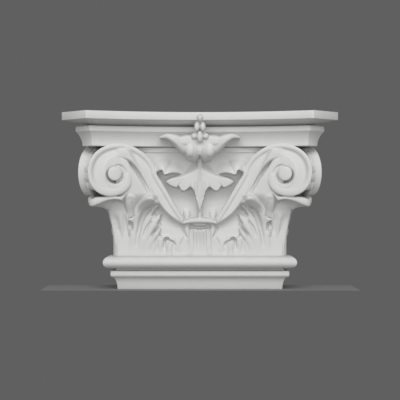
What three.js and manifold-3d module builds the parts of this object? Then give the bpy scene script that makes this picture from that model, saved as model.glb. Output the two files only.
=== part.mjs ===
import * as THREE from "three";
import * as BufferGeometryUtils from "three/addons/utils/BufferGeometryUtils.js";
import Module from "manifold-3d";

// A pilaster capital of the Corinthian kind, one cast piece cut flat at the back.
// Millimetres, +Z up. Plan positions are worked out as u (left to right) and d (distance in
// front of the wall); world x = u, world y = BASE_DEPTH / 2 - d, and z is height.
// The plan belongs to a full capital whose centre lies behind the wall, so the side faces
// are the front face mirrored across the 45 degree diagonals through that centre.

// Main sizes
const WALL = 52.6;                     // centre of the full capital to the wall plane
const BASE_DEPTH = 51.6;               // underside, front to back
const BASE_HALF = WALL + BASE_DEPTH;   // half width of the underside
const HEIGHT = 221.1;

// Base mouldings: step out from BASE_HALF and height, from the underside up
const CAVETTO_STEP = 6.6;
const CAVETTO_TOP = 15.8;
const FILLET_STEP = 8.2;
const FILLET_LOW = 17.8;
const FILLET_HIGH = 23.6;
const QUIRK_STEP = 1.5;                // depth of the groove under the torus
const TORUS_STEP = 17.2;
const TORUS_LOW = 27;
const TORUS_MID = 34.4;
const TORUS_TOP = 42.4;
const ARRIS = 0.4;                     // slope left at a sharp step

// Bell; its top and all of the abacus hang from the capital's top, so they are measured down
const BELL_STEP = 1.4;
const BELL_HALF = BASE_HALF + BELL_STEP;
const BELL_FRONT = BELL_HALF - WALL;   // the bell's face, in front of the wall
const BELL_DROP = 49.8;
const BELL_TOP = HEIGHT - BELL_DROP;
const BELL_FLARE = 11;                 // how much wider the bell is at its top
const LIP_STEP = 13;
const LIP_DROP = 42.9;
const LIP_TALL = 5.8;
const LIP_HIGH = HEIGHT - LIP_DROP;
const LIP_LOW = LIP_HIGH - LIP_TALL;

// Abacus: a plate with hollow sides and cut corners; insets are from its face
const HORN_FRONT = 137.1;              // half width between the front corners
const HORN_REACH = 170.6;              // reach of the corners from the full capital's centre
const HOLLOW = 30;                     // hollow of each side
const FASCIA_TALL = 9.9;
const FASCIA_LOW = HEIGHT - FASCIA_TALL;
const SOFFIT_IN = 23;
const SOFFIT_TALL = 5.4;
const SOFFIT_LOW = FASCIA_LOW - SOFFIT_TALL;
const BAND_IN = 14;
const BAND_GAP = 2.4;
const BAND_TALL = 6.1;
const BAND_HIGH = SOFFIT_LOW - BAND_GAP;
const BAND_LOW = BAND_HIGH - BAND_TALL;
const COVE_IN = 21.1;
const COVE_TALL = 18;
const COVE_LOW = BAND_LOW - COVE_TALL;
const COVE_ANGLE = 48;                 // the cove is this many degrees of a circle
const ARC_STEPS = 14;
const ABACUS_FRONT = HORN_REACH - HOLLOW - WALL;

// Volutes: radii about the eye at each eighth of a turn, counted from the inner side upward
const EYE_U = 104.9;
const EYE_DROP = 76.1;
const EYE_Z = HEIGHT - EYE_DROP;
const EYE_R = 8.2;
const EYE_RISE = 0.9;
const OUTER_R = [51, 42.3, 37, 34.8, 32.2, 30.9, 27, 24.2, 21];
const CREST_R = [31.2, 23.4, 20.8, 14.8, 12.4, 13.2, 16.4, 15, 13.2];
const CURL_OUT_R = [21, 21.4, 21.8, 21, 19];
const CURL_IN_R = [15, 14.6, 13.9, 12.2, 10];
const CURL_SINK = [0, 0.2, 0.5, 1, 1.6];
const CURL_TURN = 0.27;
const TURN_STEPS = 18;
const FACE_NEAR = 11;                  // how far the strap's face stands over the bell
const FACE_RISE = 33.5;                // how much further out the volute stands
const FACE_BEND = 1.8;
const VOLUTE_SINK = 9;                 // how deep volutes and straps run on inside the bell
const VOLUTE_THICK = 12;               // thickness of the volute's rim, from its face back
const VOLUTE_STEP = 8;                 // behind the rim the side steps in by this much
const CREST_RISE = 1.2;
// the well sunk round the eye and the reach of the core, hour by hour from twelve o'clock
const WELL_DEEP = [0.1, 0.1, 0.5, 1.8, 4, 8, 10, 9.5, 7.5, 6, 3.6, 1.2];
const WELL_WIDE = [1, 1, 1.6, 2.6, 3.4, 4.4, 5, 4.4, 3.4, 2.8, 2, 1.4];
const CORE_R = [21, 17, 15.2, 15.5, 15.8, 16.6, 17.6, 15.7, 14.2, 13.8, 15, 17.5];

// Straps: from the collar at the middle up to the volute
const STRAP_TOP = [[20.5, 89.5], [32, 108], [43, 127.5]];
const STRAP_FOOT = [[21.7, 81.2], [41, 95.3], [56.5, 116.5]];
const STRAP_STEPS = 8;

// Corner leaf: section out from the bell against height, at the diagonal
const LEAF_EDGE = 90;                  // where the corner leaf ends on each face
const LEAF_TIP = 35.5;
const LEAF_FOOT = 38;
const LEAF_BODY = [[2.6, 38], [3, 50], [3.7, 60], [5, 71], [7, 81], [9.8, 90], [11.4, 96]];
// the lip's underside, top and reach, from the leaf's edge to the diagonal
const LIP_UNDER = [119.7, 116.3, 111.8, 113.4, 110.4, 104.6];
const LIP_OVER = [122.5, 120, 117.6, 117.2, 117.2, 114];
const LIP_REACH = [0.22, 0.4, 0.68, 0.83, 0.95, 1];
const LEAF_ROUND = 7;
const FLUTE = 9.5;
const FLUTE_DEEP = 1.9;

// Helpers
const lerp = (a, b, t) => a + (b - a) * t;
const clamp = (t, a = 0, b = 1) => Math.min(b, Math.max(a, t));

// Smooth curve through numbers or points at equal steps, t from 0 to 1.
function along(list, t) {
  const last = list.length - 1;
  const at = clamp(t) * last;
  const i = Math.min(last - 1, Math.floor(at));
  const f = at - i;
  const mix = (a, b, c, d) => {
    const lin = 2 * b + (c - a) * f;
    const quad = (2 * a - 5 * b + 4 * c - d) * f * f;
    return 0.5 * (lin + quad + (3 * b - a - 3 * c + d) * f * f * f);
  };
  const four = [i - 1, i, i + 1, i + 2].map((k) => list[clamp(k, 0, last)]);
  if (typeof four[0] === "number") return mix(...four);
  return four[0].map((unused, k) => mix(...four.map((p) => p[k])));
}

// A closed solid through rings of equal length, each ring a list of [u, d, z].
function loft(rings) {
  const n = rings[0].length;
  const points = rings.flat();
  const faces = [];
  for (let i = 0; i + 1 < rings.length; i++) {
    for (let j = 0; j < n; j++) {
      const k = (j + 1) % n;
      const a = i * n + j;
      const b = i * n + k;
      faces.push([a, b, b + n], [a, b + n, a + n]);
    }
  }
  for (const [ring, turn] of [[0, true], [rings.length - 1, false]]) {
    const mid = [0, 1, 2].map((k) => rings[ring].reduce((s, p) => s + p[k], 0) / n);
    points.push(mid);
    for (let j = 0; j < n; j++) {
      const a = ring * n + j;
      const b = ring * n + ((j + 1) % n);
      faces.push(turn ? [b, a, points.length - 1] : [a, b, points.length - 1]);
    }
  }
  return { points, faces };
}

// The same solid in the mirror (left to right) or across the diagonal (front to side).
const mirrored = (s) => ({ points: s.points.map(([u, d, z]) => [-u, d, z]), faces: s.faces });
const toSide = (s) => ({
  points: s.points.map(([u, d, z]) => [-(d + WALL), -u - WALL, z]),
  faces: s.faces,
});

function ball(u, d, z, ru, rd, rz, around = 8, up = 5) {
  const rings = [];
  for (let i = 1; i < up + 1; i++) {
    const a = Math.PI * (i / (up + 1) - 0.5);
    const ring = [];
    for (let j = 0; j < around; j++) {
      const b = 2 * Math.PI * (j / around);
      const c = Math.cos(a);
      ring.push([u + ru * c * Math.cos(b), d + rd * c * Math.sin(b), z + rz * Math.sin(a)]);
    }
    rings.push(ring);
  }
  return loft(rings);
}

// Mouldings: rings of plan points, one solid for the base and bell and one for the abacus
const BEHIND = -0.4 * BASE_DEPTH;       // solids run on behind the wall, where they are cut off
const squareRing = (half, z) => [
  [-half, BEHIND, z],
  [half, BEHIND, z],
  [half, half - WALL, z],
  [-half, half - WALL, z],
];

function baseAndBell() {
  const rings = [];
  const add = (half, z) => rings.push(squareRing(half, z));
  for (let i = 0; i < 5; i++) {
    const a = (Math.PI / 2) * (i / 4);
    add(BASE_HALF + CAVETTO_STEP * (1 - Math.cos(a)), CAVETTO_TOP * Math.sin(a));
  }
  add(BASE_HALF + FILLET_STEP, FILLET_LOW);
  add(BASE_HALF + FILLET_STEP, FILLET_HIGH);
  add(BASE_HALF + QUIRK_STEP, FILLET_HIGH + ARRIS);
  add(BASE_HALF + QUIRK_STEP, TORUS_LOW - ARRIS);
  const low = TORUS_MID - TORUS_LOW;
  const high = TORUS_TOP - TORUS_MID;
  const round = BASE_HALF + TORUS_STEP - BELL_HALF;
  for (const a of [-80, -50, -20, 10, 35, 60, 85]) {
    const c = Math.cos((a * Math.PI) / 180);
    const s = Math.sin((a * Math.PI) / 180);
    add(BELL_HALF + round * Math.sqrt(Math.max(0, c)), TORUS_MID + s * (s < 0 ? low : high));
  }
  for (let i = 0; i < 6; i++) {
    const t = i / 5;
    add(BELL_HALF + BELL_FLARE * t * t, lerp(TORUS_TOP, BELL_TOP, t));
  }
  add(BELL_HALF + LIP_STEP, LIP_LOW);
  add(BELL_HALF + LIP_STEP, LIP_HIGH);
  add(BELL_HALF + BELL_FLARE, LIP_HIGH + ARRIS);
  add(BELL_HALF + BELL_FLARE, lerp(COVE_LOW, BAND_LOW, 0.25));
  return loft(rings);
}

function abacusRing(inset, z) {
  const radius = (HORN_FRONT * HORN_FRONT + HOLLOW * HOLLOW) / (2 * HOLLOW);
  const centre = HORN_REACH - HOLLOW + radius;
  const r = radius + inset;
  const cut = HORN_FRONT + HORN_REACH - inset * Math.SQRT2;
  const q = centre - cut;
  const corner = (Math.sqrt(2 * r * r - q * q) - q) / 2;
  const reach = (u) => centre - Math.sqrt(r * r - u * u);
  const right = [];
  for (let i = ARC_STEPS / 2; i > 0; i--) {
    const u = lerp(0, corner, i / (ARC_STEPS / 2));
    right.push([u, reach(u) - WALL, z]);
  }
  right.reverse();
  for (let i = 0; i < 5; i++) {
    const v = lerp(corner, WALL + BEHIND, i / 4);
    right.push([reach(v), v - WALL, z]);
  }
  const left = right.map(([u, d]) => [-u, d, z]).reverse();
  return [...left, [0, reach(0) - WALL, z], ...right];
}

function abacus() {
  const rings = [abacusRing(0, HEIGHT), abacusRing(0, FASCIA_LOW)];
  rings.push(abacusRing(SOFFIT_IN, SOFFIT_LOW), abacusRing(SOFFIT_IN, BAND_HIGH));
  rings.push(abacusRing(BAND_IN, BAND_HIGH), abacusRing(BAND_IN, BAND_LOW));
  const end = (COVE_ANGLE * Math.PI) / 180;
  for (let i = 4; i >= 0; i--) {
    const a = (end * i) / 4;
    const out = (1 - Math.cos(a)) / (1 - Math.cos(end));
    const inset = lerp(COVE_IN, BAND_IN + ARRIS, out);
    rings.push(abacusRing(inset, lerp(COVE_LOW, BAND_LOW - ARRIS, Math.sin(a) / Math.sin(end))));
  }
  return loft(rings);
}

// Volutes and straps
const REACH_U = EYE_U + OUTER_R[4];
const faceDepth = (u) => BELL_FRONT + FACE_NEAR + FACE_RISE * Math.pow(Math.abs(u) / REACH_U, FACE_BEND);
const VOLUTE_BACK = BELL_FRONT - VOLUTE_SINK;
const spiral = (r, turn) => {
  const a = 2 * Math.PI * turn;
  return [-EYE_U + r * Math.cos(a), EYE_Z + r * Math.sin(a)];
};

// A band between two curves on the face surface. Section rows are the share of the width and
// the rise there, on the strap and on the last part of the turn, which is plain and round.
const BAND_SECTION = [
  [0, 0, 0.6],
  [0.16, 1.5, 1.8],
  [0.34, -1.3, 2.1],
  [0.9, 0.9, 1.4],
  [1, -2, 0.6],
];
const ROUND_FROM = 0.55;
const ROUND_OVER = 0.3;

function faceBand(steps, outer, inner, round, sink = () => 0, rim = false) {
  const rings = [];
  for (let i = 0; i < steps + 1; i++) {
    const t = i / steps;
    const [ou, oz] = outer(t);
    const [iu, iz] = inner(t);
    const wide = Math.hypot(iu - ou, iz - oz);
    const across = (f) => [lerp(ou, iu, f), lerp(oz, iz, f)];
    const ring = BAND_SECTION.map(([f, plain, full]) => {
      const [u, z] = across(f);
      return [u, faceDepth(u) + lerp(plain, full, clamp(round(t))) - sink(t), z];
    });
    if (!rim) {
      ring.push([iu, VOLUTE_BACK, iz], [ou, VOLUTE_BACK, oz]);
    } else {
      const [su, sz] = across(VOLUTE_STEP / wide);
      ring.push([iu, VOLUTE_BACK, iz], [su, VOLUTE_BACK, sz]);
      ring.push([su, faceDepth(su) - VOLUTE_THICK - 1, sz], [ou, faceDepth(ou) - VOLUTE_THICK, oz]);
    }
    rings.push(ring);
  }
  return loft(rings);
}

function strap() {
  const top = [...STRAP_TOP.map(([u, z]) => [-u, z]), spiral(OUTER_R[0], 0)];
  const foot = [...STRAP_FOOT.map(([u, z]) => [-u, z]), spiral(CREST_R[0], 0)];
  const beyond = 1 / STRAP_STEPS / 2;
  const outer = (t) => (t < 1 ? along(top, t) : spiral(along(OUTER_R, beyond / 4), beyond / 4));
  const inner = (t) => (t < 1 ? along(foot, t) : spiral(along(CREST_R, beyond / 4), beyond / 4));
  return faceBand(STRAP_STEPS, outer, inner, () => 0);
}

function turn() {
  const outer = (t) => spiral(along(OUTER_R, t), t);
  const inner = (t) => spiral(along(CREST_R, t), t);
  return faceBand(TURN_STEPS, outer, inner, (t) => (t - ROUND_FROM) / ROUND_OVER, () => 0, true);
}

function curl() {
  const outer = (t) => spiral(along(CURL_OUT_R, t), 1 + CURL_TURN * t);
  const inner = (t) => spiral(along(CURL_IN_R, t), 1 + CURL_TURN * t);
  return faceBand(5, outer, inner, () => 1, (t) => along(CURL_SINK, t));
}

// The core: the round eye, the well round it and the floor out to the crest
function eye() {
  const ring = (radius, depth) => {
    const points = CORE_R.map((unused, hour) => {
      const [u, z] = spiral(radius(hour), 0.25 - hour / 12);
      return [u, depth(u, hour), z];
    });
    return points;
  };
  const floor = (u) => faceDepth(u) + CREST_RISE;
  return loft([
    ring((hour) => CORE_R[hour], () => VOLUTE_BACK),
    ring((hour) => CORE_R[hour], floor),
    ring((hour) => EYE_R + ARRIS + WELL_WIDE[hour], floor),
    ring(() => EYE_R + ARRIS, (u, hour) => floor(u) - WELL_DEEP[hour]),
    ring(() => EYE_R, (u) => floor(u) + EYE_RISE / 2),
    ring(() => EYE_R * 0.7, (u) => floor(u) + EYE_RISE),
  ]);
}

// The web: the ground under the volute swells out to meet it. Rows are height, inner edge, rise.
const WEB = [
  [96, -34, 0],
  [109, -41, 8],
  [122, -48.3, 16],
  [150, -63.7, 16],
  [170, -74.7, 16],
];
const WEB_RUN = 14;
const WEB_END = -100;

function web() {
  return loft(
    WEB.map(([z, u, rise]) => [
      [u, BELL_FRONT, z],
      [u - WEB_RUN, BELL_FRONT + rise, z],
      [WEB_END, BELL_FRONT + rise, z],
      [WEB_END, VOLUTE_BACK, z],
      [u, VOLUTE_BACK, z],
    ]),
  );
}

// The leaves' foot: an even thickness over the bell that runs out upwards. Rows are height, rise.
const MASS = [[LEAF_FOOT, 3.4], [62, 3.4], [80, 1.7], [100, -1]];

function mass() {
  return loft(
    MASS.map(([z, rise]) => [
      [-LEAF_EDGE - FLUTE, BELL_FRONT + rise, z],
      [0, BELL_FRONT + rise, z],
      [0, VOLUTE_BACK, z],
      [-LEAF_EDGE - FLUTE, VOLUTE_BACK, z],
    ]),
  );
}

// A rounded finger of carving: stations [u, z, width, rise of its crest over the ground];
// edge is the rise of its sides, and root how deep it runs on into the ground.
function finger(stations, steps, ground = BELL_FRONT, edge = 0.5, root = 6.5) {
  const rings = [];
  for (let i = 0; i < steps + 1; i++) {
    const t = i / steps;
    const [u, z, w, rise] = along(stations, t);
    const [u0, z0] = along(stations, Math.max(0, t - 0.02));
    const [u1, z1] = along(stations, Math.min(1, t + 0.02));
    const len = Math.hypot(u1 - u0, z1 - z0);
    const nu = (z1 - z0) / len;
    const nz = -(u1 - u0) / len;
    const put = (f, d) => [u + (nu * f * w) / 2, ground + d, z + (nz * f * w) / 2];
    const near = lerp(edge, rise, 0.95);
    rings.push([
      put(-1, edge),
      put(-0.4, near),
      put(0.4, near),
      put(1, edge),
      put(0.9, -root),
      put(-0.9, -root),
    ]);
  }
  return loft(rings);
}

// Corner leaf: wraps the bell's corner, its lip curling out under the volutes
function cornerLeaf() {
  const flat = BELL_HALF - LEAF_ROUND - LEAF_EDGE;
  const round = (Math.PI / 4) * LEAF_ROUND * 1.6;
  const column = (share) => {
    const from = share * (flat + round);
    const a = from < flat ? 0 : ((from - flat) / round) * (Math.PI / 4);
    const u0 = -(BELL_HALF - LEAF_ROUND);
    const squeeze = Math.pow(Math.pow(Math.cos(a), 5) + Math.pow(Math.sin(a), 5), -1 / 5);
    const base = from < flat ? -LEAF_EDGE - from : u0;
    const place = (out, z) => {
      const r = (LEAF_ROUND + out) * squeeze;
      return [base - r * Math.sin(a), u0 * -1 - WALL + r * Math.cos(a), z];
    };
    const turnAt = flat + round - from;
    const groove = FLUTE_DEEP * (0.5 - 0.5 * Math.cos((2 * Math.PI * turnAt) / FLUTE));
    const [under, over, reach] = [LIP_UNDER, LIP_OVER, LIP_REACH].map((list) => along(list, share));
    const root = LEAF_BODY[LEAF_BODY.length - 1][0];
    const tip = lerp(LEAF_ROUND, LEAF_TIP, reach);
    const ring = LEAF_BODY.map(([out, z], i) => place(out - groove * (i > 0 ? 1 : 0.4), z));
    const lip = [[0.25, under - 2.2], [0.6, under], [0.93, under], [1, (under + over) / 2], [0.93, over]];
    for (const [out, z] of lip) ring.push(place(lerp(root, tip, out), z));
    ring.push(place(-VOLUTE_SINK, over + ARRIS), place(-VOLUTE_SINK, LEAF_FOOT));
    return ring;
  };
  const front = [];
  for (let i = 0; i < 6; i++) front.push(column(i / 6));
  const side = toSide({ points: [...front].reverse().flat(), faces: [] }).points;
  const n = front[0].length;
  const rings = [...front, column(1)];
  for (let i = 0; i < front.length; i++) rings.push(side.slice(i * n, i * n + n));
  return loft(rings);
}

// Leafage on the bell, left half of the front: stations [u, z, width, rise over the bell]
const MID_LEAF = [
  [-82.5, 40, 9, 4.4],
  [-82.5, 60, 11, 5.5],
  [-80.5, 78, 12, 6.5],
  [-76, 95, 14, 8],
  [-67, 108, 16, 11],
  [-55, 113.5, 6, 12],
];
const LOBE_ROOTS = [[-79, 44], [-77.5, 57], [-76, 71], [-72, 85]];
const LOBE_TIPS = [[-53, 69.5], [-50.5, 82], [-50.5, 94], [-54, 105]];
const LOBE_WIDE = 11;
const LOBE_RISE = 7;
const LOBE_BOW = 2.5;

function midLeaf() {
  const out = [finger(MID_LEAF, 8)];
  LOBE_ROOTS.forEach(([u, z], i) => {
    const [tu, tz] = LOBE_TIPS[i];
    const stations = [
      [u, z, LOBE_WIDE * 0.8, LOBE_RISE * 0.7],
      [lerp(u, tu, 0.5) - LOBE_BOW, lerp(z, tz, 0.5) + LOBE_BOW, LOBE_WIDE, LOBE_RISE],
      [tu, tz, LOBE_WIDE * 0.25, LOBE_RISE * 0.9],
    ];
    out.push(finger(stations, 3));
  });
  return out;
}

const SIDE_LOBE = [
  [-4, 126, 14, 15],
  [-14, 131.5, 17, 15],
  [-24, 133.5, 17, 15],
  [-33, 135, 14, 15],
  [-42.5, 135.8, 2, 14],
];
const UPPER_LOBE = [
  [-18, 149, 5, 8],
  [-30, 152, 9, 12],
  [-40, 152, 11, 15],
  [-50, 153, 11, 15],
  [-60, 149, 3, 12],
];
const PLATE_EDGE = 9;                  // the side leaves are plates with sheer edges
const SHELL_LOBE = [[-84, 84, 9, 4], [-86, 98, 13, 5], [-86, 111, 11, 4]];
const SMALL_BUD = [-88.2, 74, 3, 6.5];
const BUD = [-39.4, 50.1, 5.6, 8];
const BUD_RISE = 5.5;
const ROOF = [[-53, 54, 5, 4.6], [-48, 62.5, 6, 5.4], [-40, 65, 6, 5.6], [-30.5, 57, 5, 4.4]];
const TAB = [[-17, 82, 9, 6], [-16.5, 75, 8, 5.6], [-15.5, 67, 4, 4.5]];
const BERRY_LOW = [-16.5, 95, 4.4, 3.2];

function leafage() {
  const out = [
    finger(SIDE_LOBE, 6, BELL_FRONT, PLATE_EDGE),
    finger(UPPER_LOBE, 5, BELL_FRONT, PLATE_EDGE),
    finger(SHELL_LOBE, 4),
    finger(ROOF, 4),
    finger(TAB, 3),
  ];
  for (const [u, z, w, h] of [SMALL_BUD, BUD]) out.push(ball(u, BELL_FRONT, z, w, BUD_RISE, h, 8, 4));
  const [u, z, r, rise] = BERRY_LOW;
  out.push(ball(u, BELL_FRONT, z, r, rise, r, 7, 3));
  return out;
}

// Flower at the middle of the abacus: rises are over the abacus face and heights are measured
// down from the top. Its stem, the collar where the straps meet and the heart-shaped leaf below
// it rise over the bell.
const PETAL = [
  [-2, 60.6, 9, -4],
  [-12, 52.6, 16.5, 5],
  [-22.5, 39.5, 17, 9],
  [-31, 33.1, 13, 10],
  [-40, 29.9, 8.5, 8],
  [-49.5, 31.9, 3, 4],
];
const PETAL_EDGE = -6;
const PETAL_ROOT = 16;
const PETAL_INNER = [[-3, 59.1, 8, -5], [-9.5, 45.1, 18, 2], [-15.5, 31.1, 6, -1]];
const SPIKE = [[0, 43.1, 24, -3], [0, 31.1, 20, -2], [0, 15.1, 12, -3.5], [0, 1.6, 17, -2]];
const CUP = [0, -14, 51.6, 19, 19.5, 13];
const OVAL = [-11.4, 0, 45.6, 5.4, 6.2, 7.4];
// berries: u, rise, drop from the top, then half sizes across, out and up
const BERRIES = [
  [-3.9, -1, 15.7, 3.7, 6, 4.6],
  [-7.4, -1.2, 26.7, 3.3, 6, 3.9],
];
const TOP_BERRY = [0, 1.5, 4.7, 3.1, 5, 4.4];
const LONG_BERRY = [0, 2, 28.1, 3.4, 6, 6.6];
const STEM_DROP = 59.1;
const STEM = [
  [0, HEIGHT - STEM_DROP, 9, 19],
  [0, 145, 10, 17.5],
  [0, 131, 17, 16],
  [0, 118, 13, 14.6],
  [0, 105, 9, 12.4],
  [0, 90, 7.5, 11],
];
const COLLAR = [[-22, 84.5, 7, 9], [-12, 86.8, 9, 11.5], [0, 87.4, 9.5, 13]];
const HEART = [[0, 40, 22, 4.6], [0, 58, 21, 5.6], [0, 78, 19, 7]];
const hung = (stations) => stations.map(([u, drop, ...rest]) => [u, HEIGHT - drop, ...rest]);

function onAbacus([u, rise, drop, ...sizes], around, up) {
  return ball(u, ABACUS_FRONT + rise, HEIGHT - drop, ...sizes, around, up);
}

function flower() {
  return [
    finger(hung(PETAL), 7, ABACUS_FRONT, PETAL_EDGE, PETAL_ROOT),
    finger(hung(PETAL_INNER), 4, ABACUS_FRONT, PETAL_EDGE, PETAL_ROOT),
    onAbacus(OVAL, 8, 4),
    onAbacus(BERRIES[0], 7, 3),
    onAbacus(BERRIES[1], 7, 3),
  ];
}

function middle() {
  const across = [...COLLAR, ...COLLAR.slice(0, 2).reverse().map(([u, ...rest]) => [-u, ...rest])];
  return [
    onAbacus(TOP_BERRY, 7, 3),
    onAbacus(LONG_BERRY, 8, 5),
    onAbacus(CUP, 12, 6),
    finger(hung(SPIKE), 3, ABACUS_FRONT, PETAL_EDGE, PETAL_ROOT),
    finger(STEM, 8),
    finger(across, 8, BELL_FRONT, FACE_NEAR * 0.4),
    finger(HEART, 4),
  ];
}

// Putting it together
const wasm = await Module();
wasm.setup();

function solid({ points, faces }) {
  let volume = 0;
  for (const [a, b, c] of faces) {
    const [p, q, r] = [points[a], points[b], points[c]];
    volume += p[0] * (q[1] * r[2] - q[2] * r[1]);
    volume += p[1] * (q[2] * r[0] - q[0] * r[2]);
    volume += p[2] * (q[0] * r[1] - q[1] * r[0]);
  }
  // world y runs against d, so the turning sense is the other way round
  const right = volume < 0 ? faces : faces.map(([a, b, c]) => [a, c, b]);
  const vertices = points.flatMap(([u, d, z]) => [u, BASE_DEPTH / 2 - d, z]);
  return new wasm.Manifold(
    new wasm.Mesh({
      numProp: 3,
      vertProperties: new Float32Array(vertices),
      triVerts: new Uint32Array(right.flat()),
    }),
  );
}

const half = [strap(), turn(), curl(), eye(), web(), mass(), ...midLeaf(), ...leafage()];
const left = [...half, ...half.map(toSide), cornerLeaf(), ...flower()];
const pieces = [baseAndBell(), abacus(), ...middle(), ...left, ...left.map(mirrored)];
let capital = solid(pieces[0]);
for (const piece of pieces.slice(1)) capital = capital.add(solid(piece));

// Everything behind the wall plane is cut off flat
const cutter = new THREE.BoxGeometry(4 * HORN_REACH, 4 * BASE_DEPTH, 4 * HEIGHT);
cutter.translate(0, 2.5 * BASE_DEPTH, 0);
const cutterMesh = BufferGeometryUtils.mergeVertices(
  cutter.toNonIndexed().deleteAttribute("normal").deleteAttribute("uv"),
);
capital = capital.subtract(
  new wasm.Manifold(
    new wasm.Mesh({
      numProp: 3,
      vertProperties: new Float32Array(cutterMesh.attributes.position.array),
      triVerts: new Uint32Array(cutterMesh.index.array),
    }),
  ),
);

const mesh = capital.getMesh();
const geometry = new THREE.BufferGeometry();
geometry.setAttribute("position", new THREE.BufferAttribute(new Float32Array(mesh.vertProperties), 3));
geometry.setIndex(Array.from(mesh.triVerts));
geometry.computeVertexNormals();

const material = new THREE.MeshStandardMaterial({ color: "#e6e6e4", roughness: 0.75, metalness: 0 });
material.name = "white_primer";
const object = new THREE.Mesh(geometry, material);
object.name = "capital";
const part = new THREE.Group();
part.name = "corinthian_pilaster_capital";
part.add(object);

export default part;
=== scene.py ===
# %% [markdown]
# A pilaster capital is the carved top of a flat column on a wall. The real one is a single
# moulding, cast in a soft mould and primed white, so the whole model becomes one mesh here.
# The imported CAD part is loaded first as a fixed frame. It says where everything goes. The
# finished mesh may not grow out of it.

# %% The frame
import bmesh
import bpy
import math
import numpy as np
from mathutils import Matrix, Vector

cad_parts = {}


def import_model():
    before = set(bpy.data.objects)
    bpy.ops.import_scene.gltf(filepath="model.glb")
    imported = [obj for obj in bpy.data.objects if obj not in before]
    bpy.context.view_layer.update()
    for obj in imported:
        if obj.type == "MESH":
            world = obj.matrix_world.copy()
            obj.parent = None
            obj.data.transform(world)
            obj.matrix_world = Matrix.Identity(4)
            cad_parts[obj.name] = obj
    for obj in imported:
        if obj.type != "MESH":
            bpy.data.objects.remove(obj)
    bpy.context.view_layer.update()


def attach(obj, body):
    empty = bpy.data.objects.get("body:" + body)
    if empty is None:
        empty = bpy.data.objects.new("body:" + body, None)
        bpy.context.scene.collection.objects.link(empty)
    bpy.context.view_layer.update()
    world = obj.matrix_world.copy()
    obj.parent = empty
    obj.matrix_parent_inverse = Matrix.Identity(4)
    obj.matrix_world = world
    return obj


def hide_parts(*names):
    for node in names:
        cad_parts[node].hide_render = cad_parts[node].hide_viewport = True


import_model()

# %% [markdown]
# Shapes are worked out in millimetres as (u, d, z): u runs left to right, d is the distance in
# front of the wall and z is the height. The plan belongs to a full capital whose centre is WALL
# behind the wall, so its side faces are its front face mirrored across the 45 degree diagonals.

# %% Main sizes and the two mirrors
WALL = 52.6
BASE_DEPTH = 51.6
BASE_HALF = WALL + BASE_DEPTH
HEIGHT = 221.1
BELL_HALF = BASE_HALF + 1.4
BELL_FRONT = BELL_HALF - WALL


def world(points):
    """Millimetres in (u, d, z) to metres in the frame's x, y, z."""
    p = np.asarray(points, float)
    return np.stack([p[:, 0], BASE_DEPTH / 2 - p[:, 1], p[:, 2]], axis=1) * 0.001


def mirrored(points):
    return np.asarray(points, float) * (-1, 1, 1)


def to_side(points):
    p = np.asarray(points, float)
    return np.stack([-(p[:, 1] + WALL), -p[:, 0] - WALL, p[:, 2]], axis=1)


def mesh_object(name, points, faces):
    """A mesh object at the origin, its normals turned outwards."""
    mesh = bpy.data.meshes.new(name)
    mesh.from_pydata(world(points).tolist(), [], [list(map(int, f)) for f in faces])
    work = bmesh.new()
    work.from_mesh(mesh)
    bmesh.ops.recalc_face_normals(work, faces=work.faces)
    work.to_mesh(mesh)
    work.free()
    obj = bpy.data.objects.new(name, mesh)
    bpy.context.scene.collection.objects.link(obj)
    return obj


print("bell stands", BELL_FRONT, "mm in front of the wall")

# %% [markdown]
# Most of the carving is either a loft, a skin over a row of equal rings, or a smooth curve
# through a few named points. Two helpers cover both.

# %% Curves and lofts
def along(points, t):
    """Smooth curve through points at equal steps, for t from 0 to 1."""
    p = np.asarray(points, float)
    if p.ndim == 1:
        p = p[:, None]
    last = len(p) - 1
    at = np.clip(np.atleast_1d(t), 0, 1) * last
    i = np.minimum(last - 1, np.floor(at)).astype(int)
    f = (at - i)[:, None]
    a, b, c, d = (p[np.clip(i + k, 0, last)] for k in (-1, 0, 1, 2))
    square, cube = 2 * a - 5 * b + 4 * c - d, 3 * b - a - 3 * c + d
    out = 0.5 * (2 * b + (c - a) * f + square * f**2 + cube * f**3)
    return out[:, 0] if out.shape[1] == 1 else out


def loft(rings):
    """Points and faces of a closed solid through equal rings of (u, d, z)."""
    rings = np.asarray(rings, float)
    count, n = rings.shape[:2]
    faces = []
    for i in range(count - 1):
        for j in range(n):
            k = (j + 1) % n
            faces.append((i * n + j, i * n + k, (i + 1) * n + k, (i + 1) * n + j))
    faces.append(tuple(range(n))[::-1])
    faces.append(tuple(range((count - 1) * n, count * n)))
    return rings.reshape(-1, 3), faces


print("a curve through 0, 10 and 0 peaks at", along([0, 10, 0], 0.5)[0])

# %% [markdown]
# The mouldings are the rule-shaped part of the capital: one profile run along one plan, with
# mitred corners, as a plasterer runs a cornice. Geometry Nodes does the run. A grid gets one row
# for each profile point and one column for each plan point, and every grid point is moved to its
# plan point, pushed out by the profile. The plan carries its mitre direction as an attribute.

# %% A helper that adds a node, and the moulding tree
def add(tree, kind, inputs=None, **settings):
    made = tree.nodes.new(kind)
    for key, value in settings.items():
        setattr(made, key, value)
    for key, value in (inputs or {}).items():
        if isinstance(value, bpy.types.NodeSocket):
            tree.links.new(value, made.inputs[key])
        else:
            made.inputs[key].default_value = value
    return made


def new_tree(name, sockets):
    tree = bpy.data.node_groups.new(name, "GeometryNodeTree")
    tree.interface.new_socket("Geometry", in_out="OUTPUT", socket_type="NodeSocketGeometry")
    for label, kind in sockets:
        tree.interface.new_socket(label, in_out="INPUT", socket_type=kind)
    return tree, tree.nodes.new("NodeGroupInput").outputs


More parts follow.
